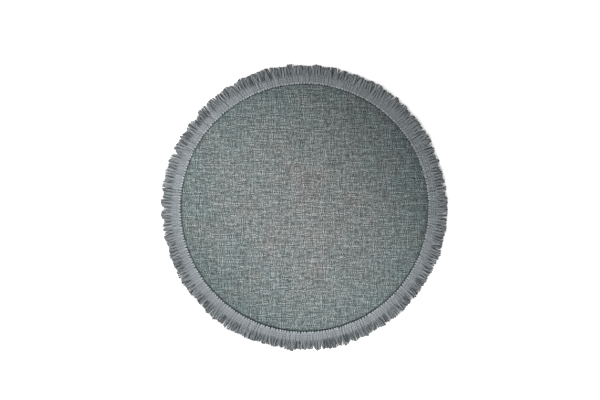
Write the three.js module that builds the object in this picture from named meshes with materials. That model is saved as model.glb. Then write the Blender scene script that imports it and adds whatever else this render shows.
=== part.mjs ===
// A round, fringed chair seat pad, 400 mm across its fringe and 25 mm high at the crown.
// Millimetres, +Z up, origin at the middle of the underside.
//
// Two cloth discs are sewn right sides together at the rim and turned, so that their seam allowances lie
// inside the rim as turned-in hems. A foam disc between two sheets of wadding fills the pad. A brush fringe
// is then sewn on over the flat rim: its knitted header lies on the top cover, and its cut yarns stand out
// past the edge. Every piece is a solid of revolution about Z.
import * as THREE from "three";

// Driving dimensions of the whole pad.
const FRINGE_TIP_RADIUS = 200;
const RIM_RADIUS = 184;
const DOME_RADIUS = 174.2;
const CROWN_HEIGHT = 25;
const REST_RADIUS = 148;
const RIM_LIFT = 2.6;

// Thicknesses and clearances.
const CLOTH = 0.7;
const GAP = 0.3;
const HEADER_THICKNESS = 2;

// Shape of the dome: z falls from the crown as (1 - (r / R)^power)^fullness.
const DOME_POWER = 2.2;
const DOME_FULLNESS = 0.75;
const UNDERSIDE_POWER = 1.6;

// Filling: how far out each layer reaches, and the share of the height inside the covers that it takes.
const FOAM_RADIUS = 160;
const WADDING_RADIUS = 168;
const LOWER_WADDING_SHARE = 0.16;
const FOAM_SHARE = 0.54;

// Turned-in hems and the flat rim.
const HEM_INNER_RADIUS = 175;
const FOLD_ROUNDING = 0.35;

// Fringe: the header lies on the rim, and the skirt of cut yarns starts where the header ends.
const HEADER_INNER_RADIUS = 174.9;
const HEADER_OUTER_RADIUS = 185;
const HEADER_EDGE_THICKNESS = 1.3;
const HEADER_ROUNDING = 1.2;
const SKIRT_ROOT_THICKNESS = 2;
const SKIRT_TIP_THICKNESS = 3.4;
const SKIRT_DROOP = 3.2;

// Threads.
const CHAIN_RADII = [177.4, 180.6, 183.6];
const CHAIN_WIDTH = 1.1;
const CHAIN_HEIGHT = 0.6;
const TRIM_STITCH_RADIUS = 179;
const SEWING_THREAD = 0.5;

// How finely the round pieces are cut.
const PAD_SEGMENTS = 60;
const THREAD_SEGMENTS = 48;
const THREAD_SIDES = 5;

// Levels of the flat rim's layers, from the underside up.
const bottomFlangeTop = RIM_LIFT + CLOTH;
const bottomHemBottom = bottomFlangeTop + GAP;
const bottomHemTop = bottomHemBottom + CLOTH;
const topHemBottom = bottomHemTop + GAP;
const topHemTop = topHemBottom + CLOTH;
const topFlangeBottom = topHemTop + GAP;
const topFlangeTop = topFlangeBottom + CLOTH;
const headerBottom = topFlangeTop + GAP;
const headerTop = headerBottom + HEADER_THICKNESS;

// Radii at which the curved surfaces are sampled, closer together where they bend more.
const DOME_SAMPLES = [0, 45, 85, 115, 138, 154, 164, 170];
const UNDERSIDE_SAMPLES = [0, REST_RADIUS, 158, 167];

// Height of the top cover's outer face at radius r.
function domeHeight(r) {
  const rise = CROWN_HEIGHT - topFlangeTop;
  const outward = Math.min(r / DOME_RADIUS, 1) ** DOME_POWER;
  return topFlangeTop + rise * (1 - outward) ** DOME_FULLNESS;
}

// Height of the bottom cover's outer face at radius r: flat where it rests, then curving up to the rim.
function undersideHeight(r) {
  const outward = Math.max(r - REST_RADIUS, 0) / (DOME_RADIUS - REST_RADIUS);
  return RIM_LIFT * Math.min(outward, 1) ** UNDERSIDE_POWER;
}

// Height inside the covers at radius r, as a share from the bottom cover (0) to the top cover (1).
function fillHeight(r, share) {
  const floor = undersideHeight(r) + CLOTH + GAP;
  const ceiling = domeHeight(r) - CLOTH - GAP;
  return floor + (ceiling - floor) * share;
}

// Points [r, z] of a surface at the given radii.
function surface(radii, height) {
  return radii.map((r) => [r, height(r)]);
}

// The same points from the outside in.
function inward(points) {
  return [...points].reverse();
}

const materials = {
  cover: { color: 0x7a827f, roughness: 0.95, metalness: 0 },
  wadding: { color: 0xeeece6, roughness: 1, metalness: 0 },
  foam: { color: 0xd9cfae, roughness: 0.9, metalness: 0 },
  fringe: { color: 0x858c90, roughness: 0.85, metalness: 0 },
  chain: { color: 0x8d9498, roughness: 0.8, metalness: 0 },
  thread: { color: 0x6f7678, roughness: 0.7, metalness: 0 },
};

// A named mesh of a geometry whose axis is Y, turned so that its axis is Z.
function upright(name, geometry, finish) {
  const mesh = new THREE.Mesh(geometry, new THREE.MeshStandardMaterial(materials[finish]));
  mesh.name = name;
  mesh.rotation.x = Math.PI / 2;
  return mesh;
}

// A solid of revolution from a profile [r, z] that runs anticlockwise, from axis to axis or back to its start.
function turned(name, profile, finish) {
  const points = profile.map(([r, z]) => new THREE.Vector2(r, z));
  return upright(name, new THREE.LatheGeometry(points, PAD_SEGMENTS), finish);
}

// A closed ring: the profile's last point is joined to its first.
function turnedRing(name, profile, finish) {
  return turned(name, [...profile, profile[0]], finish);
}

// A thread sewn round the pad, as a ring of flattened section centred at radius r and height z.
function threadRing(name, r, z, width, height, finish) {
  const ring = [];
  for (let side = 0; side < THREAD_SIDES; side += 1) {
    const angle = (side / THREAD_SIDES) * 2 * Math.PI;
    ring.push([r + (width / 2) * Math.cos(angle), z + (height / 2) * Math.sin(angle)]);
  }
  const points = [...ring, ring[0]].map(([x, y]) => new THREE.Vector2(x, y));
  return upright(name, new THREE.LatheGeometry(points, THREAD_SEGMENTS), finish);
}

// Top cover: the domed cloth, its flat rim, and the hem turned in under the rim.
function makeTopCover() {
  const outer = surface(DOME_SAMPLES, domeHeight);
  const inner = surface(DOME_SAMPLES, (r) => domeHeight(r) - CLOTH);
  return turned(
    "top_cover",
    [
      ...inner,
      [DOME_RADIUS - CLOTH, topFlangeBottom],
      [RIM_RADIUS - CLOTH, topFlangeBottom],
      [RIM_RADIUS - CLOTH, topHemTop],
      [HEM_INNER_RADIUS, topHemTop],
      [HEM_INNER_RADIUS, topHemBottom],
      [RIM_RADIUS - FOLD_ROUNDING * 2, topHemBottom],
      [RIM_RADIUS, topHemBottom + FOLD_ROUNDING * 2],
      [RIM_RADIUS, topFlangeTop - FOLD_ROUNDING],
      [RIM_RADIUS - FOLD_ROUNDING, topFlangeTop],
      [DOME_RADIUS, topFlangeTop],
      ...inward(outer),
    ],
    "cover",
  );
}

// Bottom cover: the cloth that lies on the seat, its flat rim, and the hem turned in over the rim.
function makeBottomCover() {
  const outer = surface(UNDERSIDE_SAMPLES, undersideHeight);
  const inner = surface(UNDERSIDE_SAMPLES, (r) => undersideHeight(r) + CLOTH);
  return turned(
    "bottom_cover",
    [
      ...outer,
      [DOME_RADIUS, RIM_LIFT],
      [RIM_RADIUS - FOLD_ROUNDING, RIM_LIFT],
      [RIM_RADIUS, RIM_LIFT + FOLD_ROUNDING],
      [RIM_RADIUS, bottomHemTop - FOLD_ROUNDING * 2],
      [RIM_RADIUS - FOLD_ROUNDING * 2, bottomHemTop],
      [HEM_INNER_RADIUS, bottomHemTop],
      [HEM_INNER_RADIUS, bottomHemBottom],
      [RIM_RADIUS - CLOTH, bottomHemBottom],
      [RIM_RADIUS - CLOTH, bottomFlangeTop],
      [DOME_RADIUS, bottomFlangeTop],
      ...inward(inner),
    ],
    "cover",
  );
}

// Lower wadding: a thin sheet between the bottom cover and the foam.
function makeLowerWadding() {
  const radii = [0, REST_RADIUS, 158, WADDING_RADIUS];
  return turned(
    "wadding_bottom",
    [
      ...surface(radii, (r) => fillHeight(r, 0)),
      ...inward(surface(radii, (r) => fillHeight(r, LOWER_WADDING_SHARE))),
    ],
    "wadding",
  );
}

// Foam core: a disc that the covers squeeze thinner towards its edge.
function makeFoamCore() {
  const radii = [0, 45, 85, 115, 138, FOAM_RADIUS];
  return turned(
    "foam_core",
    [
      ...surface([0, REST_RADIUS, FOAM_RADIUS], (r) => fillHeight(r, LOWER_WADDING_SHARE) + GAP),
      ...inward(surface(radii, (r) => fillHeight(r, LOWER_WADDING_SHARE + FOAM_SHARE))),
    ],
    "foam",
  );
}

// Upper wadding: a thicker sheet over the foam, which wraps down round the foam's edge.
function makeUpperWadding() {
  const overFoam = [0, 45, 85, 115, 138, FOAM_RADIUS + GAP];
  const above = [0, 45, 85, 115, 138, 154, 164, WADDING_RADIUS];
  return turned(
    "wadding_top",
    [
      ...surface(overFoam, (r) => fillHeight(r, LOWER_WADDING_SHARE + FOAM_SHARE) + GAP),
      ...surface([FOAM_RADIUS + GAP, WADDING_RADIUS], (r) => fillHeight(r, LOWER_WADDING_SHARE) + GAP),
      ...inward(surface(above, (r) => fillHeight(r, 1))),
    ],
    "wadding",
  );
}

// Fringe header: the knitted band on the rim, thinner at its looped inner edge.
function makeFringeHeader() {
  return turnedRing(
    "fringe_header",
    [
      [HEADER_INNER_RADIUS, headerBottom],
      [HEADER_OUTER_RADIUS, headerBottom],
      [HEADER_OUTER_RADIUS, headerTop],
      [HEADER_INNER_RADIUS + HEADER_ROUNDING, headerTop],
      [HEADER_INNER_RADIUS, headerBottom + HEADER_EDGE_THICKNESS],
    ],
    "fringe",
  );
}

// Fringe skirt: the band of cut yarns, which droops and opens towards its tips.
function makeFringeSkirt() {
  const root = HEADER_OUTER_RADIUS + GAP;
  const middle = (root + FRINGE_TIP_RADIUS) / 2;
  const rootTop = headerBottom + SKIRT_ROOT_THICKNESS;
  const tipTop = rootTop - SKIRT_DROOP;
  const tipBottom = tipTop - SKIRT_TIP_THICKNESS;
  return turnedRing(
    "fringe_skirt",
    [
      [root, headerBottom],
      [middle, headerBottom - SKIRT_DROOP / 2],
      [FRINGE_TIP_RADIUS, tipBottom],
      [FRINGE_TIP_RADIUS, tipTop],
      [middle, rootTop - SKIRT_DROOP / 3],
      [root, rootTop],
    ],
    "fringe",
  );
}

// Chain rows: the warp chains knitted along the header, which bind its yarns.
function makeChains() {
  const z = headerTop + GAP + CHAIN_HEIGHT / 2;
  return CHAIN_RADII.map((radius, row) =>
    threadRing(`fringe_chain_${row + 1}`, radius, z, CHAIN_WIDTH, CHAIN_HEIGHT, "chain"),
  );
}

// Sewing threads: the stitch line that holds the trim, seen above and below, and the seam that joins the covers.
function makeSewingThreads() {
  const above = headerTop + GAP + SEWING_THREAD / 2;
  const below = RIM_LIFT - GAP - SEWING_THREAD / 2;
  const seam = (bottomHemTop + topHemBottom) / 2;
  const size = SEWING_THREAD;
  return [
    threadRing("trim_needle_thread", TRIM_STITCH_RADIUS, above, size, size, "thread"),
    threadRing("trim_bobbin_thread", TRIM_STITCH_RADIUS, below, size, size, "thread"),
    threadRing("cover_seam_thread", RIM_RADIUS, seam, size, size, "thread"),
  ];
}

const filling = new THREE.Group();
filling.add(makeLowerWadding(), makeFoamCore(), makeUpperWadding());

const covers = new THREE.Group();
covers.add(makeTopCover(), makeBottomCover());

const trim = new THREE.Group();
trim.add(makeFringeHeader(), makeFringeSkirt(), ...makeChains(), ...makeSewingThreads());

const seatPad = new THREE.Group();
seatPad.add(filling, covers, trim);

export default seatPad;
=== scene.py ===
"""A round, fringed chair seat pad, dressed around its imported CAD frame. Lengths are in metres."""
import math

import bpy
import numpy as np
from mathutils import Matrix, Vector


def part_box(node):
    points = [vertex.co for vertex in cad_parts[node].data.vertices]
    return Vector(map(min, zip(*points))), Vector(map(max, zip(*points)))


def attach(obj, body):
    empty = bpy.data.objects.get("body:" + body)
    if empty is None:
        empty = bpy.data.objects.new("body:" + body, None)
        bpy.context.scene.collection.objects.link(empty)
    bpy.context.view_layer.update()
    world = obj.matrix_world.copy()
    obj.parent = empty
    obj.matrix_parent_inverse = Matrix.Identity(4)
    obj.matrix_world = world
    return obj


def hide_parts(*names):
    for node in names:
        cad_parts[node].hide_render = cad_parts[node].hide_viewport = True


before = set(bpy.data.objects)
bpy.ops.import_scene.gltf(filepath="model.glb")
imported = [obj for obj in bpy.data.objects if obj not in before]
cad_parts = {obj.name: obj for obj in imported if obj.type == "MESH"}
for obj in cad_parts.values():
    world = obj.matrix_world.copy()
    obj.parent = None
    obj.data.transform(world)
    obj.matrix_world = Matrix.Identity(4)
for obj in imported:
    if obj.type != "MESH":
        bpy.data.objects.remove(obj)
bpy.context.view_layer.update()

MM = 0.001

# Sizes that the CAD model has too.
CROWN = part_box("top_cover")[1].z
RIM_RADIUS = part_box("top_cover")[1].x
TIP_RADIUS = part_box("fringe_skirt")[1].x
HEADER_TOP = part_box("fringe_header")[1].z
FLANGE_TOP = 6.3 * MM
HEM_FACE_UPPER = 4.6 * MM
HEM_FACE_LOWER = 4.3 * MM
FLANGE_BOTTOM = 2.6 * MM
REST_RADIUS = 148 * MM
CLOTH = 0.7 * MM
GAP = 0.3 * MM
DOME_POWER = 2.2
DOME_FULLNESS = 0.75
UNDERSIDE_POWER = 1.6
FOAM_RADIUS = 160 * MM
WADDING_RADIUS = 168 * MM
LOWER_WADDING_SHARE = 0.16
FOAM_SHARE = 0.54
CHAIN_RADII = [177.4 * MM, 180.6 * MM, 183.6 * MM]
TRIM_STITCH_RADIUS = 179 * MM

# Where the dome of the top cover turns down into the groove beside the trim, and how much higher that edge
# stands where the groove is deepest. Directions are in degrees, anticlockwise from +X, here and below.
EDGE_RADIUS = 172.1 * MM
EDGE_HEIGHT = 7.1 * MM
EDGE_SWELL = 1.2 * MM
GROOVE_OUTER_RADIUS = 177 * MM
DEEPEST_GROOVE = 232
# Where the shadow painted into the groove is darkest.
DARKEST_GROOVE_SHADE = 264
RAISED_GROOVE = -8
# Where the shadow painted between the trim's loops is lightest.
LIGHTEST_SHADE_BETWEEN_LOOPS = 20

# How far the turned-in hems reach, and how far off-centre the trim's inner edge is sewn.
HEM_INNER_RADIUS = 177.5 * MM
TRIM_SHIFT = 0.85 * MM
TRIM_SHIFT_DIRECTION = 60

# The trim: one loop of the header is three plies, and each ply ends in two cut yarns.
LOOPS = 284
LOOP_PITCH = 2 * math.pi / LOOPS
LOOP_PLIES = 3
UNDER_YARNS_PER_LOOP = 10
YARN_RADIUS = 0.42 * MM
LOOPED_TONE = 0.72
# The under yarns are the same yarn as the looped ones, painted darker: painted shade, as they lie in the
# looped yarns' shadow.
UNDER_SHADED_TONE = 0.24
LOOPED_ROOT_RADIUS = 186 * MM
UNDER_ROOT_RADIUS = 182 * MM

# Mesh fineness: rings of the covers, sides of a thread, and points along a cut yarn.
DISC_RINGS = 48
YARN_SIDES = 6
LOOPED_END_STEPS = 8
UNDER_YARN_STEPS = 9

# How long the covers are blown up.
INFLATION_FRAMES = 20

rng = np.random.default_rng(41)


# ---------------------------------------------------------------- meshes


def new_object(name, verts, loops, starts, uvs=None, **attributes):
    """An object from vertices (n, 3), a flat list of all faces' corners, and where each face starts in it."""
    mesh = bpy.data.meshes.new(name)
    mesh.vertices.add(len(verts))
    mesh.vertices.foreach_set("co", np.asarray(verts, dtype=np.float32).ravel())
    mesh.loops.add(len(loops))
    mesh.loops.foreach_set("vertex_index", np.asarray(loops, dtype=np.int32))
    mesh.polygons.add(len(starts))
    mesh.polygons.foreach_set("loop_start", np.asarray(starts, dtype=np.int32))
    if uvs is not None:
        layer = mesh.uv_layers.new(name="UVMap")
        layer.data.foreach_set("uv", np.asarray(uvs, dtype=np.float32).ravel())
    for label, values in attributes.items():
        attribute = mesh.attributes.new(label, "FLOAT", "POINT")
        attribute.data.foreach_set("value", np.asarray(values, dtype=np.float32))
    mesh.update(calc_edges=True)
    mesh.validate()
    mesh.polygons.foreach_set("use_smooth", np.ones(len(mesh.polygons), dtype=bool))
    piece = bpy.data.objects.new(name, mesh)
    bpy.context.scene.collection.objects.link(piece)
    return piece


def tubes(name, paths, radii, tone, closed=False, sides=YARN_SIDES):
    """One object of many round tubes. paths is (tubes, steps, 3), radii and tone are (tubes, steps)."""
    count, steps, _ = paths.shape
    if closed:
        heading = np.roll(paths, -1, axis=1) - np.roll(paths, 1, axis=1)
    else:
        heading = np.gradient(paths, axis=1)
    heading /= np.linalg.norm(heading, axis=2, keepdims=True)
    sideways = np.cross(heading, (0.0, 0.0, 1.0))
    sideways /= np.linalg.norm(sideways, axis=2, keepdims=True)
    lift = np.cross(sideways, heading)
    turn = np.arange(sides) * 2 * math.pi / sides
    circle = np.cos(turn)[:, None] * sideways[:, :, None, :] + np.sin(turn)[:, None] * lift[:, :, None, :]
    verts = (paths[:, :, None, :] + radii[:, :, None, None] * circle).reshape(-1, 3)

    spans = steps if closed else steps - 1
    tube, step, side = np.meshgrid(np.arange(count), np.arange(spans), np.arange(sides), indexing="ij")
    here = (tube * steps + step) * sides
    there = (tube * steps + (step + 1) % steps) * sides
    beside = (side + 1) % sides
    quads = np.stack([here + side, there + side, there + beside, here + beside], axis=-1).reshape(-1, 4)
    step_length = np.linalg.norm(np.diff(paths, axis=1, append=paths[:, :1]), axis=2)
    run = np.concatenate([np.zeros((count, 1)), np.cumsum(step_length, axis=1)], axis=1)
    v_here, v_there = run[tube, step], run[tube, step + 1]
    u_here, u_there = side / sides, (side + 1) / sides
    corner_uvs = [u_here, v_here, u_here, v_there, u_there, v_there, u_there, v_here]
    uvs = np.stack(corner_uvs, axis=-1).reshape(-1, 2)
    loops = quads.ravel()
    starts = np.arange(len(quads)) * 4
    if not closed:
        first = np.arange(count)[:, None] * steps * sides
        last = first + (steps - 1) * sides
        caps = np.concatenate([first + np.arange(sides), last + np.arange(sides)[::-1]])
        starts = np.concatenate([starts, len(loops) + np.arange(len(caps)) * sides])
        loops = np.concatenate([loops, caps.ravel()])
        uvs = np.concatenate([uvs, np.zeros((caps.size, 2))])
    return new_object(name, verts, loops, starts, uvs, tone=np.repeat(tone.ravel(), sides))


def polar(angle, radius, height):
    """Points from angle, radius and height arrays of one shape."""
    return np.stack([radius * np.cos(angle), radius * np.sin(angle), height], axis=-1)


def disc_grid(rings, radius):
    """A disc of near-equal triangles: its (x, y) points, 6 i of them on ring i, its triangles, and the number
    of each ring's first point."""
    points = [np.zeros((1, 2))]
    first = [0]
    for i in range(1, rings + 1):
        angle = np.arange(6 * i) * 2 * math.pi / (6 * i)
        points.append(radius * i / rings * np.stack([np.cos(angle), np.sin(angle)], axis=-1))
        first.append(first[-1] + max(6 * (i - 1), 1))
    triangles = []
    for i in range(rings):
        inner, outer = max(6 * i, 1), 6 * (i + 1)
        for sector in range(6):
            for j in range(i + 1):
                a = first[i] + (sector * i + j) % inner
                b = first[i + 1] + sector * (i + 1) + j
                c = first[i + 1] + (sector * (i + 1) + j + 1) % outer
                triangles.append((a, b, c))
                if j < i:
                    triangles.append((a, c, first[i] + (sector * i + j + 1) % inner))
    return np.concatenate(points), np.array(triangles), first


# ---------------------------------------------------------------- the pad's resting shape


def around(angle, middle, power):
    """1 at the middle angle in degrees, falling to 0 on the far side."""
    return (0.5 + 0.5 * np.cos(angle - math.radians(middle))) ** power


def sharpness(angle):
    """How deep and sharp the groove is at an angle, from 0 to 1."""
    return around(angle, DEEPEST_GROOVE, 1.2)


def sewn_off_centre(points):
    """The points moved as the trim's inner edge is, which is sewn on a little off-centre; the rest stays."""
    r = np.hypot(points[..., 0], points[..., 1])
    share = np.clip((r - 140 * MM) / (30 * MM), 0, 1) * np.clip((RIM_RADIUS - r) / (7 * MM), 0, 1)
    turn = math.radians(TRIM_SHIFT_DIRECTION)
    moved = points.copy()
    moved[..., 0] += TRIM_SHIFT * math.cos(turn) * share
    moved[..., 1] += TRIM_SHIFT * math.sin(turn) * share
    return moved


def dome_height(r, angle):
    """Height of the top cover's face, out to where it turns down into the groove."""
    edge = EDGE_HEIGHT + EDGE_SWELL * sharpness(angle)
    outward = np.minimum(r / EDGE_RADIUS, 1) ** DOME_POWER
    return edge + (CROWN - edge) * (1 - outward) ** DOME_FULLNESS


def underside_height(r):
    """Height of the bottom cover's face at radius r."""
    outward = np.clip((r - REST_RADIUS) / (EDGE_RADIUS - REST_RADIUS), 0, 1)
    return FLANGE_BOTTOM * outward**UNDERSIDE_POWER


def inflate(name, grid, triangles, held, height, up):
    """The points of a cover blown up by cloth simulation."""
    start = np.column_stack([grid, height])
    corners = triangles if up else triangles[:, ::-1]
    cover = new_object(name, start, corners.ravel(), np.arange(len(corners)) * 3)
    pins = cover.vertex_groups.new(name="held")
    pins.add([int(i) for i in np.flatnonzero(held)], 1.0, "REPLACE")
    cloth = cover.modifiers.new("inflate", "CLOTH")
    cloth.settings.quality = 6
    cloth.settings.mass = 0.25
    cloth.settings.tension_stiffness = 20
    cloth.settings.compression_stiffness = 20
    cloth.settings.shear_stiffness = 10
    cloth.settings.bending_stiffness = 0.8
    cloth.settings.shrink_min = -0.006
    cloth.settings.vertex_group_mass = "held"
    cloth.settings.effector_weights.gravity = 0
    cloth.settings.use_pressure = True
    cloth.settings.uniform_pressure_force = 4
    cloth.collision_settings.use_collision = False
    scene = bpy.context.scene
    for number in range(1, INFLATION_FRAMES + 1):
        scene.frame_set(number)
    result = cover.evaluated_get(bpy.context.evaluated_depsgraph_get()).to_mesh()
    points = np.empty(len(start) * 3, dtype=np.float32)
    result.vertices.foreach_get("co", points)
    scene.frame_set(1)
    bpy.data.objects.remove(cover)
    return points.reshape(-1, 3).astype(float)


def limited(start, moved, most):
    """The moved points, none of them further than most from its start."""
    shift = moved - start
    length = np.linalg.norm(shift, axis=1, keepdims=True)
    return start + shift * np.minimum(1, most / np.maximum(length, 1e-9))


def pad_surfaces():
    """The disc grid that both covers share, and the simulated points of the dome and of the underside."""
    grid, triangles, first = disc_grid(DISC_RINGS, EDGE_RADIUS)
    r = np.linalg.norm(grid, axis=1)
    held = r > EDGE_RADIUS - 0.1 * MM
    angle = np.arctan2(grid[:, 1], grid[:, 0])
    height = dome_height(r, angle)
    edge = dome_height(EDGE_RADIUS, angle)
    grid = sewn_off_centre(grid)
    slack = edge + (height - edge) * 0.8
    dome = inflate("top_cover_cloth", grid, triangles, held, slack, up=True)
    dome = limited(np.column_stack([grid, height]), dome, 5 * MM)
    rise = (CROWN - EDGE_HEIGHT) / (dome[:, 2].max() - EDGE_HEIGHT)
    dome[:, 2] = edge + (dome[:, 2] - edge) * rise

    held = held | (r < REST_RADIUS)
    base = inflate("bottom_cover_cloth", grid, triangles, held, underside_height(r), up=False)
    base = limited(np.column_stack([grid, underside_height(r)]), base, 2 * MM)
    base[:, 2] = np.maximum(base[:, 2], 0)
    return grid, triangles, first, dome, base


# ---------------------------------------------------------------- covers and filling


def apply_modifiers(piece):
    """Replaces the piece's mesh by what its modifiers make of it."""
    made = piece.evaluated_get(bpy.context.evaluated_depsgraph_get())
    mesh = bpy.data.meshes.new_from_object(made)
    piece.modifiers.clear()
    piece.data = mesh


def make_cover(name, surface, triangles, first, rim_profile, up):
    """A cover: its simulated face, then rings (r, z) out along the rim and round the fold into the hem.

    The top cover first goes down through the groove, where an attribute on its points carries painted shade:
    the groove's shadow and the shadow between the trim's loops, painted into the cloth."""
    rim = first[-1]
    count = len(surface) - rim
    angle = np.arange(count) * 2 * math.pi / count
    if up:
        rim_profile = groove(angle) + rim_profile
    rings = [polar(angle, np.ones(count) * r, np.ones(count) * z) for r, z in rim_profile]
    verts = np.concatenate([surface, sewn_off_centre(np.concatenate(rings))])
    from_axis = np.hypot(verts[:, 0], verts[:, 1])
    azimuth = np.arctan2(verts[:, 1], verts[:, 0])
    # Painted shade: how dark the cloth is painted in the groove and between the trim's loops, where their
    # shadow falls.
    in_groove = up & (np.arange(len(verts)) >= len(surface)) & (from_axis < GROOVE_OUTER_RADIUS)
    shade_between_loops = (0.7 - 0.35 * around(azimuth, LIGHTEST_SHADE_BETWEEN_LOOPS, 1)) * (from_axis > 174 * MM)
    pressed = in_groove * np.maximum(around(azimuth, DARKEST_GROOVE_SHADE, 2.5), shade_between_loops)
    here = np.arange(count)
    beside = (here + 1) % count
    quads = []
    for k in range(len(rim_profile)):
        inner = rim + k * count
        outer = inner + count
        quads.append(np.stack([inner + here, outer + here, outer + beside, inner + beside], axis=-1))
    quads = np.concatenate(quads)
    if not up:
        triangles, quads = triangles[:, ::-1], quads[:, ::-1]
    loops = np.concatenate([triangles.ravel(), quads.ravel()])
    starts = np.concatenate(
        [np.arange(len(triangles)) * 3, triangles.size + np.arange(len(quads)) * 4]
    )
    cover = new_object(name, verts, loops, starts, pressed=pressed)
    finer = cover.modifiers.new("finer", "SUBSURF")
    finer.levels = finer.render_levels = 1
    thick = cover.modifiers.new("thick", "SOLIDIFY")
    thick.thickness = CLOTH
    thick.offset = -1
    thick.use_even_offset = True
    apply_modifiers(cover)
    return cover


def fold(hem_z, flange_z, steps=6):
    """Profile points (r, z) over the flat rim, round the fold and back along the hem."""
    radius = abs(flange_z - hem_z) / 2
    middle = (flange_z + hem_z) / 2
    sign = 1 if flange_z > hem_z else -1
    centre = RIM_RADIUS - radius
    out = [178 * MM, 180.5 * MM, centre]
    arc = [math.pi * k / steps for k in range(1, steps)]
    back = [centre, 180.5 * MM, HEM_INNER_RADIUS]
    return (
        [(r, flange_z) for r in out]
        + [(centre + radius * math.sin(a), middle + sign * radius * math.cos(a)) for a in arc]
        + [(r, hem_z) for r in back]
    )


def groove(angle):
    """Rings (r, z) where the top cover dives beside the trim and comes up again under it."""
    sharp_radii = [172.5, 172.8, 172.95, 173.3, 174.3, 175.7, 176.5]
    sharp_heights = [7.6, 6.2, 4.9, 4.15, 4.05, 4.2, 5.6]
    shallow_radii = [172.6, 173.1, 173.5, 173.9, 174.4, 175.4, 176.4]
    shallow_heights = [6.95, 6.6, 6.15, 5.8, 5.4, 5.1, 5.6]
    share = sharpness(angle)
    lift = 0.7 * around(angle, RAISED_GROOVE, 3)
    rings = []
    for near_r, near_z, far_r, far_z in zip(shallow_radii, shallow_heights, sharp_radii, sharp_heights):
        r = near_r + (far_r - near_r) * share
        z = near_z + (far_z - near_z) * share + lift * (near_z < 6.5)
        rings.append((r * MM, z * MM))
    return rings + [(177.2 * MM, FLANGE_TOP)]


def make_layer(name, grid, triangles, first, rings, lower, upper):
    """A closed sheet of filling over the first rings of the grid, between two heights."""
    inside = first[rings] + 6 * rings
    corners = triangles[(triangles < inside).all(axis=1)]
    rim = np.arange(first[rings], inside)
    side_angle = np.arctan2(grid[rim, 1], grid[rim, 0])
    side_radius = np.linalg.norm(grid[rim], axis=1) + (upper[rim] - lower[rim]) * 0.25
    side = polar(side_angle, side_radius, (upper[rim] + lower[rim]) / 2)
    top_face = np.column_stack([grid[:inside], upper[:inside]])
    low_face = np.column_stack([grid[:inside], lower[:inside]])
    verts = np.concatenate([top_face, low_face, side])
    count = len(rim)
    beside = np.roll(np.arange(count), -1)
    bulge = 2 * inside + np.arange(count)
    top_wall = np.stack([rim, bulge, bulge[beside], rim[beside]], axis=-1)
    low_rim = rim + inside
    low_wall = np.stack([bulge, low_rim, low_rim[beside], bulge[beside]], axis=-1)
    low_corners = corners[:, ::-1] + inside
    loops = np.concatenate([corners.ravel(), low_corners.ravel(), top_wall.ravel(), low_wall.ravel()])
    threes = len(corners) + len(low_corners)
    starts = np.concatenate([np.arange(threes) * 3, threes * 3 + np.arange(2 * count) * 4])
    return new_object(name, verts, loops, starts)


# ---------------------------------------------------------------- materials


class Shader:
    """One material's node tree, built a node per call."""

    def __init__(self, name, **surface):
        self.material = bpy.data.materials.new(name)
        self.material.use_nodes = True
        self.tree = self.material.node_tree
        self.surface = self.tree.nodes["Principled BSDF"]
        for label, value in surface.items():
            self.surface.inputs[label.replace("_", " ")].default_value = value

    def node(self, kind, *values, **settings):
        """A node with its inputs set or linked in order; None leaves an input alone."""
        node = self.tree.nodes.new("ShaderNode" + kind)
        for label, value in settings.items():
            setattr(node, label, value)
        for socket, value in zip(node.inputs, values):
            if isinstance(value, bpy.types.NodeSocket):
                self.tree.links.new(value, socket)
            elif value is not None:
                socket.default_value = value
        return node

    def math(self, operation, *values):
        return self.node("Math", *values, operation=operation).outputs[0]

    def add(self, a, b):
        return self.math("ADD", a, b)

    def times(self, a, b):
        return self.math("MULTIPLY", a, b)

    def point(self, x, y, z=0.0):
        return self.node("CombineXYZ", x, y, z).outputs[0]

    def noise(self, place, scale, detail=2.0, roughness=0.5):
        """Smooth noise, about 0 to 1."""
        node = self.node("TexNoise")
        self.tree.links.new(place, node.inputs["Vector"])
        node.inputs["Scale"].default_value = scale
        node.inputs["Detail"].default_value = detail
        node.inputs["Roughness"].default_value = roughness
        return node.outputs["Fac"]

    def random(self, number):
        """A random value from 0 to 1 for each whole number."""
        return self.node("TexWhiteNoise", None, number, noise_dimensions="1D").outputs["Value"]

    def blend(self, share, a, b):
        """a where share is 0 and b where it is 1, for numbers."""
        return self.node("Mix", share, None, a, b, data_type="FLOAT").outputs[0]

    def ramp(self, value, *stops):
        """Colour from (position, (r, g, b)) stops."""
        node = self.node("ValToRGB", value)
        ends = node.color_ramp.elements
        while len(ends) < len(stops):
            ends.new(0.5)
        for end, (position, colour) in zip(ends, stops):
            end.position = position
            end.color = (*colour, 1)
        return node.outputs["Color"]

    def tint(self, colour, factor):
        """One colour times another."""
        return self.node("MixRGB", 1.0, colour, factor, blend_type="MULTIPLY").outputs[0]

    def bump(self, height, distance, strength=1.0):
        node = self.node("Bump")
        node.inputs["Strength"].default_value = strength
        node.inputs["Distance"].default_value = distance
        self.tree.links.new(height, node.inputs["Height"])
        self.tree.links.new(node.outputs["Normal"], self.surface.inputs["Normal"])

    def colour(self, socket):
        self.tree.links.new(socket, self.surface.inputs["Base Color"])


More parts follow.
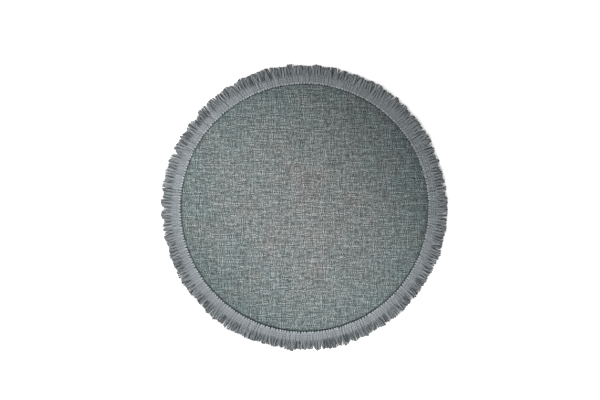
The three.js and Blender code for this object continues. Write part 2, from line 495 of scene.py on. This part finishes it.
def cloth_material():
    """Plain weave of round melange yarns, thick and thin, that turn from dark to light along their length."""
    warp_pitch, weft_pitch = 1.55 * MM, 1.54 * MM
    matt = {"Roughness": 0.95, "Specular_IOR_Level": 0.12, "Sheen_Weight": 0.1, "Sheen_Roughness": 0.6}
    s = Shader("melange_cloth", **matt)
    place = s.node("TexCoord").outputs["Object"]
    xyz = s.node("SeparateXYZ", place)
    x, y = xyz.outputs["X"], xyz.outputs["Y"]
    waver = s.times(s.math("SUBTRACT", s.noise(place, 30, 1), 0.5), 0.8)
    warp = s.add(s.math("DIVIDE", x, warp_pitch), waver)
    weft = s.math("SUBTRACT", s.math("DIVIDE", y, weft_pitch), waver)

    def yarn(across, along, run, seed, fleck_length, streak_length, fleck, streak, own):
        """Cross-section, crimp and tone of the yarns that lie side by side, counted by across.

        They go over and under the yarns counted by along, and run is the way along them in metres. fleck,
        streak and own say how much short flecks, long streaks and each yarn's own shade change the tone."""
        number = s.math("FLOOR", across)
        shade = s.random(s.add(number, seed))
        line = s.add(number, 0.5)

        def along_yarn(length, offset, detail):
            return s.noise(s.point(s.math("DIVIDE", run, length), line, seed + offset), 1, detail, 0.8)

        slub = along_yarn(10 * MM, 0, 1)
        half_width = s.add(s.times(slub, 0.7), 0.15)
        off_middle = s.math("SUBTRACT", s.math("FRACT", across), 0.5)
        side = s.math("DIVIDE", off_middle, half_width)
        round_profile = s.math("SQRT", s.math("MAXIMUM", s.math("SUBTRACT", 1.0, s.times(side, side)), 0.0))
        way = s.math("MULTIPLY_ADD", s.math("FLOORED_MODULO", number, 2.0), -2.0, 1.0)
        crimp = s.times(s.math("SINE", s.times(along, math.pi)), way)
        tone = s.math("MULTIPLY_ADD", along_yarn(fleck_length, 8, 2), fleck, 0.5 - (fleck + streak + own) / 2)
        tone = s.math("MULTIPLY_ADD", along_yarn(streak_length, 16, 1), streak, tone)
        tone = s.math("MULTIPLY_ADD", shade, own, tone)
        return round_profile, crimp, tone

    warp_look = dict(seed=0, fleck_length=5 * MM, streak_length=28 * MM, fleck=0.64, streak=0.34, own=0.02)
    weft_look = dict(seed=41, fleck_length=9 * MM, streak_length=30 * MM, fleck=0.86, streak=0.38, own=0.02)
    warp_round, warp_crimp, warp_tone = yarn(warp, weft, y, **warp_look)
    weft_round, weft_crimp, weft_tone = yarn(weft, warp, x, **weft_look)
    roundness, crimp = 0.55, 0.4
    warp_height = s.add(s.times(warp_round, roundness), s.times(warp_crimp, crimp))
    weft_height = s.math("SUBTRACT", s.times(weft_round, roundness), s.times(weft_crimp, crimp))
    weft_over = s.math("GREATER_THAN", weft_height, warp_height)
    height = s.math("MAXIMUM", warp_height, weft_height)

    # Fine fibres that run along each yarn with a slight twist, in cells per metre of noise.
    across_cells, twist_cells, along_cells = 9000, 2200, 700
    warp_across = s.add(s.times(x, across_cells), s.times(y, twist_cells))
    weft_across = s.add(s.times(y, across_cells), s.times(x, twist_cells))
    warp_fibre = s.noise(s.point(warp_across, s.times(y, along_cells)), 1, 2)
    weft_fibre = s.noise(s.point(s.times(x, along_cells), weft_across, 4.0), 1, 2)
    fibre = s.math("SUBTRACT", s.blend(weft_over, warp_fibre, weft_fibre), 0.5)

    tone = s.blend(weft_over, warp_tone, weft_tone)
    # Painted shade: the colour darkens where the yarns' height falls away, in the gaps between them.
    crevice_shade = s.times(s.math("SUBTRACT", height, 0.66), 0.3)
    shade = s.add(s.add(tone, crevice_shade), s.times(fibre, 0.32))
    cloth = s.ramp(
        shade,
        (0.32, (0.019, 0.024, 0.023)),
        (0.45, (0.069, 0.081, 0.079)),
        (0.56, (0.158, 0.177, 0.174)),
        (0.67, (0.34, 0.373, 0.362)),
    )

    # The dye has taken unevenly: some places are a little warmer, others a little cooler.
    uneven = s.noise(place, 32, 4, 0.6)
    cloth = s.tint(cloth, s.node("MixRGB", uneven, (0.84, 1.008, 1.03, 1), (1.16, 0.992, 0.97, 1)).outputs[0])

    # Painted light: the crown is tinted a little warmer and lighter, and the edge a little cooler and darker.
    from_axis = s.node("VectorMath", place, operation="LENGTH").outputs["Value"]
    outer = s.node("MapRange", from_axis, 0.0, 0.17, 0.0, 1.0).outputs[0]
    cloth = s.tint(cloth, s.node("MixRGB", outer, (1.1, 1, 1.015, 1), (0.88, 0.955, 0.965, 1)).outputs[0])
    # Painted shade: the cloth is darkened in the groove and between the trim's loops, where shadow falls.
    pressed = s.node("Attribute", attribute_name="pressed").outputs["Fac"]
    cloth = s.tint(cloth, s.node("MixRGB", pressed, (1, 1, 1, 1), (0.24, 0.28, 0.3, 1)).outputs[0])
    s.colour(cloth)
    s.bump(s.add(height, s.times(fibre, 0.25)), 0.6 * MM, 0.9)
    return s.material


def yarn_material(name, dark, light, twist, tip=None):
    """Twisted yarn on tubes: tone is each yarn's shade, partly its own and partly painted light and shade,
    and tip the colour towards the cut ends, partly their deeper colour and partly painted shade where they
    droop.
    """
    s = Shader(name, Roughness=0.75, Specular_IOR_Level=0.3, Sheen_Weight=0.15, Sheen_Roughness=0.5)
    coordinates = s.node("TexCoord")
    split = s.node("SeparateXYZ", coordinates.outputs["UV"])
    turns = s.add(s.times(split.outputs["X"], 2.0), s.math("DIVIDE", split.outputs["Y"], twist))
    groove = s.math("ABSOLUTE", s.math("SINE", s.times(turns, math.pi)))
    own = s.node("Attribute", attribute_name="tone").outputs["Fac"]
    place = coordinates.outputs["Object"]
    uneven = s.noise(place, 900, 3)
    # Painted shade: the colour darkens in the grooves of the twist.
    shade = s.add(s.times(own, 0.55), s.add(s.times(uneven, 0.3), s.times(groove, 0.15)))
    if tip:
        from_axis = s.node("VectorMath", place, operation="LENGTH").outputs["Value"]
        # Painted shade: the yarns are darkened from the header's inner edge out into the skirt, where the
        # gaps between them hold shadow.
        painted_skirt_shade = s.node("MapRange", from_axis, 0.174, 0.188, 0.0, 0.22).outputs[0]
        shade = s.math("SUBTRACT", shade, painted_skirt_shade)
    colour = s.ramp(shade, (0.2, dark), (1.0, light))
    if tip:
        # Towards the cut ends the colour goes to the tip colour: partly the ends' deeper colour, partly
        # painted shade where they droop.
        tip_tint_and_shade = s.node("MapRange", from_axis, 0.193, 0.203, 0.0, 0.3).outputs[0]
        colour = s.node("MixRGB", tip_tint_and_shade, colour, (*tip, 1)).outputs[0]
    s.colour(colour)
    s.bump(s.add(groove, s.times(uneven, 0.4)), 0.15 * MM, 0.8)
    return s.material


def foam_material():
    """Open-cell foam: cream, with fine cells."""
    s = Shader("open_cell_foam", Roughness=0.9, Specular_IOR_Level=0.2)
    place = s.node("TexCoord").outputs["Object"]
    cells = s.node("TexVoronoi")
    s.tree.links.new(place, cells.inputs["Vector"])
    cells.inputs["Scale"].default_value = 900
    s.colour(s.ramp(s.noise(place, 30, 3), (0.35, (0.62, 0.55, 0.36)), (0.65, (0.76, 0.7, 0.5))))
    s.bump(cells.outputs["Distance"], 0.5 * MM, 0.7)
    return s.material


def wadding_material():
    """Fluffy white wadding of crossing fibres."""
    s = Shader("fibre_wadding", Roughness=1.0, Specular_IOR_Level=0.1, Sheen_Weight=0.4, Sheen_Roughness=0.7)
    place = s.node("TexCoord").outputs["Object"]
    fibres = s.noise(place, 1500, 4, 0.7)
    s.colour(s.ramp(s.noise(place, 60, 3), (0.3, (0.78, 0.77, 0.73)), (0.7, (0.9, 0.89, 0.86))))
    s.bump(s.add(fibres, s.noise(place, 150, 3)), 0.8 * MM, 0.6)
    return s.material


# ---------------------------------------------------------------- trim


# The direction in which the fringe is longest, in degrees.
LONGEST_FRINGE = 75

# Where the fringe parts: (degrees, half-width in mm, how far the yarns lean apart in mm).
PARTINGS = [
    (53, 4.0, 2.6),
    (152, 5.0, 2.2),
    (166, 4.0, 1.8),
    (180, 3.0, 2.0),
    (254, 5.0, 2.4),
    (312, 5.0, 2.6),
]


def chain_press(r):
    """How far the header's yarns are pressed down where the chain rows bind them, from 0 to 1."""
    return sum(np.exp(-(((r - row) / (0.7 * MM)) ** 2)) for row in CHAIN_RADII)


def random_wave(turns, size):
    """One wave round the rim: (whole turns, random size, random start)."""
    return turns, rng.normal(0, size), rng.uniform(0, 2 * math.pi)


def wave_sum(waves, angle):
    """The sum of some waves round the rim at each angle, in mm."""
    return sum(size * np.sin(turns * angle + start) for turns, size, start in waves)


def turned_back(angle):
    """The angle as the shortest turn, from -pi to pi."""
    return (angle + math.pi) % (2 * math.pi) - math.pi


class Brush:
    """How the cut yarns lie: slow waves round the rim, clumps, partings, and notches in the outline."""

    def __init__(self):
        self.waves = [random_wave(turns, 0.3) for turns in (7, 13, 37, 58, 83, 110)]
        self.lengths = [random_wave(turns, 1.7 / math.sqrt(turns)) for turns in range(6, 110, 4)]
        most_clumps, small_partings, notches = 420, 45, 50
        edges = np.cumsum(rng.uniform(3.0, 12.0, most_clumps)) * MM / TIP_RADIUS
        self.edges = edges[edges < 2 * math.pi]
        self.middles = (self.edges + np.roll(self.edges, 1)) / 2
        self.middles[0] = self.edges[0] / 2
        self.pulls = rng.uniform(0.0, 0.6, len(self.middles))
        self.clump_lengths = rng.normal(0, 0.52, len(self.middles))
        self.small_partings = [
            (rng.uniform(0, 360), rng.uniform(1.5, 3.5), rng.uniform(0.5, 1.6)) for _ in range(small_partings)
        ]
        self.notches = rng.uniform(0, 2 * math.pi, notches)
        self.notch_depths = 0.4 + 5.2 * rng.uniform(0, 1, notches) ** 2
        self.notch_widths = rng.uniform(1.0, 2.6, notches) * MM / TIP_RADIUS

    def clump(self, angle):
        """The number of the clump that the yarns at this angle belong to."""
        return np.searchsorted(self.edges, angle % (2 * math.pi)) % len(self.middles)

    def lean(self, angle):
        """How far round the rim the tips of the yarns at this angle lean."""
        shift = wave_sum(self.waves, angle)
        for degrees, half_width, apart in PARTINGS + self.small_partings:
            offset = turned_back(angle - math.radians(degrees)) * TIP_RADIUS / MM / half_width
            shift = shift + apart * offset * np.exp(0.5 - 0.5 * offset**2)
        return shift * MM

    def gather(self, angle):
        """How far round the rim the yarns' tips at this angle are drawn to the middle of their clump."""
        clump = self.clump(angle)
        to_middle = turned_back(self.middles[clump] - angle)
        return self.pulls[clump] * np.clip(to_middle * TIP_RADIUS, -4 * MM, 4 * MM)

    def tip_radius(self, angle):
        """How far out the yarns at this angle reach."""
        longer = wave_sum(self.lengths, angle) + self.clump_lengths[self.clump(angle)] + 0.3
        off_centre = 1.2 * np.cos(angle - math.radians(LONGEST_FRINGE))
        offset = turned_back(angle[:, None] - self.notches)
        shorter = (self.notch_depths * np.exp(-((offset / self.notch_widths) ** 2))).sum(axis=1)
        return TIP_RADIUS + (off_centre + longer - shorter) * MM

    def skirt(self, root_angle, root_radius, root_z, droop, own, spread, steps):
        """Points (r, t, z) of cut yarns from the given roots to their tips; t is the way round the rim."""
        s = np.linspace(0, 1, steps)[None, :]
        tip = self.tip_radius(root_angle) + 0.65 * MM * own[:, 0]
        sway = self.lean(root_angle) + spread * own[:, 1]
        r = root_radius[:, None] + (tip - root_radius)[:, None] * s
        curl = 0.22 * MM * own[:, 2:3] * np.sin(1.5 * math.pi * s)
        t = sway[:, None] * s**1.6 + self.gather(root_angle)[:, None] * s**3 + curl
        z = root_z[:, None] - droop[:, None] * s**1.8
        return r, t, np.maximum(z, 0.6 * MM)


def tip_painted_light(points):
    """Painted light: how much lighter the yarns are made towards their cut ends, from 188 mm off the axis out
    to 200 mm, where they droop into shade.
    """
    from_axis = np.hypot(points[..., 0], points[..., 1])
    return 0.22 * np.clip((from_axis - 188 * MM) / (12 * MM), 0, 1)


def header_painted_light(angle):
    """Painted light and shade: how the header's tone changes round the rim as the light falls on its yarns.
    """
    return 0.06 * np.cos(2 * (angle - math.radians(20))) + 0.03 * np.cos(angle - math.radians(205))


def fringe_painted_light(angle):
    """Painted light and shade: how the cut yarns' tone changes round the rim as the light falls across them.
    """
    return 0.19 * np.cos(2 * (angle - math.radians(27))) + 0.16 * np.cos(angle - math.radians(57))


def make_looped_yarns(brush):
    """The upper yarns: each runs from a cut tip in through the header, turns, and runs back out to a tip."""
    number, ply = np.meshgrid(np.arange(LOOPS), np.arange(LOOP_PLIES), indexing="ij")
    number, ply = number.ravel(), ply.ravel()
    middle = number * LOOP_PITCH
    shared = rng.normal(0, 1, (LOOPS, 3))[number]
    own = rng.normal(0, 1, (len(number), 3))

    # Each loop's first ply is the widest, its second is nested inside it, and its third lies under both.
    end_radius = (np.array([174.45, 175.6, 175.3])[ply] + 0.12 * shared[:, 0]) * MM
    end_width = (np.array([0.78, 0.18, 0.45])[ply] + 0.05 * own[:, 0]) * MM
    full_width = (np.array([1.7, 0.36, 1.03])[ply] + 0.07 * own[:, 1]) * MM
    sink = np.array([0, 0.05, 0.55])[ply] * MM

    # Radii that a loop's two legs pass, from the header's outer edge in to the turn, which spans 150 degrees.
    leg = np.array([184.6, 182.9, 181.2, 179.4, 177.8, 176.4]) * MM
    leg_r = np.tile(leg, (len(number), 1))
    leg_r[:, -1] = np.maximum(leg_r[:, -1], end_radius + 0.5 * MM)
    opening = np.clip((leg_r - 175.2 * MM) / (2.6 * MM), 0, 1)
    leg_t = end_width[:, None] + (full_width - end_width)[:, None] * opening
    turn = np.linspace(-75, 75, 5) * math.pi / 180
    turn_r = end_radius[:, None] + 0.55 * MM * (1 - np.cos(turn))
    turn_t = end_width[:, None] * np.sin(turn)

    def header_z(r):
        curl = np.clip((176.4 * MM - r) / (1.8 * MM), 0, 1)
        return HEADER_TOP - (0.42 - 0.25 * curl) * MM - sink[:, None] - 0.22 * MM * chain_press(r)

    def slant(r):
        return (0.5 + 0.3 * shared[:, 1:2]) * MM * np.clip((178.5 * MM - r) / (4 * MM), 0, 1)

    header_r = np.concatenate([leg_r, turn_r, leg_r[:, ::-1]], axis=1)
    header_t = np.concatenate([-leg_t, turn_t, leg_t[:, ::-1]], axis=1) + slant(header_r)
    header_angle = middle[:, None] + header_t / header_r
    header = sewn_off_centre(polar(header_angle, header_r, header_z(header_r)))

    ends = []
    strand_lean = 0.9 * MM * rng.normal(0, 1, LOOPS)[number]
    strand_length = 0.5 * rng.normal(0, 1, LOOPS)[number]
    for way in (-1, 1):
        root_angle = middle + way * full_width / RIM_RADIUS
        root_radius = np.full(len(number), LOOPED_ROOT_RADIUS)
        noise = rng.normal(0, 1, (len(number), 4))
        noise[:, 0] += strand_length
        root_z = HEADER_TOP - 0.45 * MM - sink
        droop = (1.5 + 0.45 * noise[:, 3]) * MM + 0.6 * sink
        r, t, z = brush.skirt(root_angle, root_radius, root_z, droop, noise, 0.5 * MM, LOOPED_END_STEPS)
        outward = (r - root_radius[:, None]) / (TIP_RADIUS - root_radius[:, None])
        gathered = 0.5 * way * full_width[:, None] * np.minimum(2.2 * outward, 1)
        t = t - gathered + strand_lean[:, None] * outward
        ends.append(polar(root_angle[:, None] + t / r, r, z))
    paths = np.concatenate([ends[0][:, ::-1], header, ends[1]], axis=1)

    radii = np.full(paths.shape[:2], YARN_RADIUS) * (1 + 0.06 * own[:, 2:3])
    header_tone = LOOPED_TONE + header_painted_light(middle) + 0.18 * (own[:, 1] - np.roll(own[:, 1], 1))
    tone = np.repeat(header_tone[:, None], paths.shape[1], axis=1)
    for points in (slice(0, LOOPED_END_STEPS), slice(-LOOPED_END_STEPS, None)):
        cut_end = paths[:, points]
        out = np.clip((np.hypot(cut_end[..., 0], cut_end[..., 1]) - RIM_RADIUS) / (5 * MM), 0, 1)
        end_tone = LOOPED_TONE + fringe_painted_light(middle) + 0.32 * rng.normal(0, 1, len(number))
        tone[:, points] += (end_tone - header_tone)[:, None] * out + tip_painted_light(cut_end)
    tone = np.clip(tone, 0, 1)

    # Painted highlight: the turns of the loops stand free beside the groove, and their tone is raised where
    # the light catches them.
    tone[:, LOOPED_END_STEPS:-LOOPED_END_STEPS] += 0.38 * np.clip((176.6 * MM - header_r) / (1.6 * MM), 0, 1)
    return quarters("fringe_loops", number, paths, radii, tone)


def make_under_yarns(brush):
    """The lower yarns, which fill the fringe under the looped ones."""
    count = LOOPS * UNDER_YARNS_PER_LOOP
    number = np.arange(count) // UNDER_YARNS_PER_LOOP
    member = np.arange(count) % UNDER_YARNS_PER_LOOP
    own = rng.normal(0, 1, (count, 5))
    layer = member // 4
    place = number + (member + 0.5) / UNDER_YARNS_PER_LOOP
    root_angle = place * LOOP_PITCH + 0.3 * MM * own[:, 3] / RIM_RADIUS
    root_radius = UNDER_ROOT_RADIUS + 0.4 * MM * own[:, 4]
    root_z = HEADER_TOP - (0.95 + 0.38 * layer) * MM
    droop = (1.9 + 0.7 * layer + 0.5 * rng.normal(0, 1, count)) * MM
    r, t, z = brush.skirt(root_angle, root_radius, root_z, droop, own, 0.8 * MM, UNDER_YARN_STEPS)
    paths = polar(root_angle[:, None] + t / r, r, z)
    radii = np.tile((0.4 + 0.03 * own[:, 2])[:, None], (1, UNDER_YARN_STEPS)) * MM
    # Painted shade: the under yarns start from a darker tone than the looped ones.
    tone = UNDER_SHADED_TONE + 0.5 * fringe_painted_light(root_angle) + 0.15 * rng.normal(0, 1, count)
    tone = np.clip(tone[:, None] + tip_painted_light(paths), 0, 1)
    return quarters("fringe_under_yarns", number, paths, radii, tone)


def quarters(name, number, paths, radii, tone):
    """The yarns of each quarter turn as a piece of their own, so that no piece is too heavy."""
    pieces = []
    for quarter in range(4):
        part = number * 4 // LOOPS == quarter
        pieces.append(tubes(f"{name}_{quarter + 1}", paths[part], radii[part], tone[part], sides=5))
    return pieces


def make_chain(row, radius):
    """A knitted chain along the header: two strands that cross once in each stitch."""
    stitches = 2 * LOOPS
    steps = stitches * 4
    angle = np.arange(steps) * 2 * math.pi / steps
    phase = angle * stitches / 2
    strands = []
    for way in (-1, 1):
        r = radius + way * 0.36 * MM * np.sin(phase)
        z = HEADER_TOP - 0.05 * MM + way * 0.16 * MM * np.cos(phase)
        strands.append(polar(angle, r, z))
    radii = np.full((2, steps), 0.2 * MM)
    tone = np.full((2, steps), 0.55)
    return tubes(f"fringe_chain_row_{row}", np.array(strands), radii, tone, closed=True, sides=5)


def make_stitches(name, radius, height, dip, length, thickness):
    """A closed line of stitches: flat on the surface, and dipping into it at each needle hole."""
    count = round(2 * math.pi * radius / length)
    steps = count * 6
    angle = np.arange(steps) * 2 * math.pi / steps
    within = np.abs(np.sin(angle * count / 2))
    z = height - dip * (1 - np.minimum(within * 1.8, 1))
    path = polar(angle, np.full(steps, radius), z)
    return tubes(name, path[None], np.full((1, steps), thickness / 2), np.full((1, steps), 0.5), closed=True)


# ---------------------------------------------------------------- build


def finish_piece(piece, material, slot, *nodes):
    """Gives a piece its material, hangs it on the root body, and hides the parts of the frame that it stands
    for.
    """
    piece.data.materials.clear()
    piece.data.materials.append(material)
    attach(piece, "root")
    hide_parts(*nodes)


def build_pad():
    grid, triangles, first, dome, base = pad_surfaces()
    cloth = cloth_material()
    top = make_cover("top_cover_cloth", dome, triangles, first, fold(HEM_FACE_UPPER, FLANGE_TOP), up=True)
    finish_piece(top, cloth, "cover_cloth", "top_cover")
    bottom_rim = [(174.5 * MM, FLANGE_BOTTOM)] + fold(HEM_FACE_LOWER, FLANGE_BOTTOM)
    bottom = make_cover("bottom_cover_cloth", base, triangles, first, bottom_rim, up=False)
    finish_piece(bottom, cloth, "cover_cloth", "bottom_cover")

    floor = base[:, 2] + CLOTH + GAP
    ceiling = dome[:, 2] - CLOTH - GAP

    def level(share):
        return floor + (ceiling - floor) * share

    step = EDGE_RADIUS / DISC_RINGS
    foam_rings = int(FOAM_RADIUS / step)
    wadding_rings = int(WADDING_RADIUS / step)
    foam_top = level(LOWER_WADDING_SHARE + FOAM_SHARE)
    foam_bottom = level(LOWER_WADDING_SHARE) + GAP
    over_foam = np.linalg.norm(grid, axis=1) < (foam_rings + 0.5) * step
    wadding_under = np.where(over_foam, foam_top + GAP, level(LOWER_WADDING_SHARE) + GAP)

    foam = make_layer("foam_disc", grid, triangles, first, foam_rings, foam_bottom, foam_top)
    finish_piece(foam, foam_material(), "foam", "foam_core")
    fluffy = wadding_material()
    upper = make_layer("wadding_sheet_upper", grid, triangles, first, wadding_rings, wadding_under, ceiling)
    finish_piece(upper, fluffy, "wadding", "wadding_top")
    lower = make_layer(
        "wadding_sheet_lower", grid, triangles, first, wadding_rings, floor, level(LOWER_WADDING_SHARE)
    )
    finish_piece(lower, fluffy, "wadding", "wadding_bottom")


def build_trim():
    dark, light, tip = (0.045, 0.053, 0.057), (0.474, 0.522, 0.55), (0.07, 0.07, 0.06)
    yarn = yarn_material("fringe_yarn", dark, light, 1.5 * MM, tip)
    chain_yarn = yarn_material("chain_yarn", (0.15, 0.16, 0.165), (0.43, 0.46, 0.472), 0.8 * MM)
    thread = yarn_material("sewing_thread", (0.08, 0.09, 0.095), (0.24, 0.263, 0.268), 0.7 * MM)
    brush = Brush()
    for piece in make_looped_yarns(brush):
        finish_piece(piece, yarn, "fringe_yarn", "fringe_header", "fringe_skirt")
    for piece in make_under_yarns(brush):
        finish_piece(piece, yarn, "fringe_yarn", "fringe_skirt")
    for row, radius in enumerate(CHAIN_RADII, start=1):
        finish_piece(make_chain(row, radius), chain_yarn, "chain_yarn", f"fringe_chain_{row}")
    height = HEADER_TOP + 0.05 * MM
    above = make_stitches("trim_stitches_above", TRIM_STITCH_RADIUS, height, 0.6 * MM, 3 * MM, 0.4 * MM)
    finish_piece(above, thread, "sewing_thread", "trim_needle_thread")
    height = FLANGE_BOTTOM - 0.2 * MM
    below = make_stitches("trim_stitches_below", TRIM_STITCH_RADIUS, height, -0.5 * MM, 3 * MM, 0.4 * MM)
    finish_piece(below, thread, "sewing_thread", "trim_bobbin_thread")
    seam_z = (HEM_FACE_LOWER + HEM_FACE_UPPER) / 2
    seam = make_stitches("cover_seam_stitches", RIM_RADIUS - 0.1 * MM, seam_z, 0, 2.6 * MM, 0.45 * MM)
    finish_piece(seam, thread, "sewing_thread", "cover_seam_thread")


def direction(azimuth, elevation):
    """Unit vector towards an azimuth, anticlockwise from +X, and an elevation above the floor, in degrees."""
    turn, up = math.radians(azimuth), math.radians(elevation)
    return np.array([math.cos(turn) * math.cos(up), math.sin(turn) * math.cos(up), math.sin(up)])


def area_light(name, place, size, power):
    """A soft light of size (long, short) at place, aimed at the pad, its long side level."""
    data = bpy.data.lights.new(name, "AREA")
    data.shape = "RECTANGLE"
    data.size, data.size_y = size
    data.energy = power
    light = bpy.data.objects.new(name, data)
    bpy.context.scene.collection.objects.link(light)
    light.location = place
    light.rotation_euler = (-light.location).to_track_quat("-Z", "Y").to_euler()
    light.visible_camera = False


def build_stage():
    """Floor, lights and the camera looking straight down."""
    half = 3.0
    corners = [(-half, -half, 0), (half, -half, 0), (half, half, 0), (-half, half, 0)]
    floor = new_object("floor", np.array(corners), [0, 1, 2, 3], [0])
    white = Shader("floor_paint", Roughness=0.9, Specular_IOR_Level=0.0, Base_Color=(0.9, 0.9, 0.9, 1))
    white.surface.inputs["Emission Color"].default_value = (1, 1, 1, 1)
    # Painted light: the floor glows white outside the pad and not under it; the glow fades in over the fringe
    # tips, which paints a darker ring of shade round them.
    place = white.node("TexCoord").outputs["Object"]
    from_axis = white.node("VectorMath", place, operation="LENGTH").outputs["Value"]
    painted_floor_glow = white.node("MapRange", from_axis, 0.192, 0.205, 0.0, 0.7).outputs[0]
    white.tree.links.new(painted_floor_glow, white.surface.inputs["Emission Strength"])
    floor.data.materials.append(white.material)

    area_light("key_strip", direction(222, 73) * 0.36, (1.15, 0.15), 4.68)
    world = bpy.data.worlds.new("studio")
    bpy.context.scene.world = world
    world.use_nodes = True
    world.node_tree.nodes["Background"].inputs["Color"].default_value = (1, 1, 1, 1)
    world.node_tree.nodes["Background"].inputs["Strength"].default_value = 0.13

    data = bpy.data.cameras.new("camera")
    data.lens = 85
    camera = bpy.data.objects.new("camera", data)
    bpy.context.scene.collection.objects.link(camera)
    camera.location = (-0.0058, 0.0117, 1.998)
    bpy.context.scene.camera = camera
    bpy.context.scene.view_settings.view_transform = "Standard"


build_stage()
build_pad()
build_trim()

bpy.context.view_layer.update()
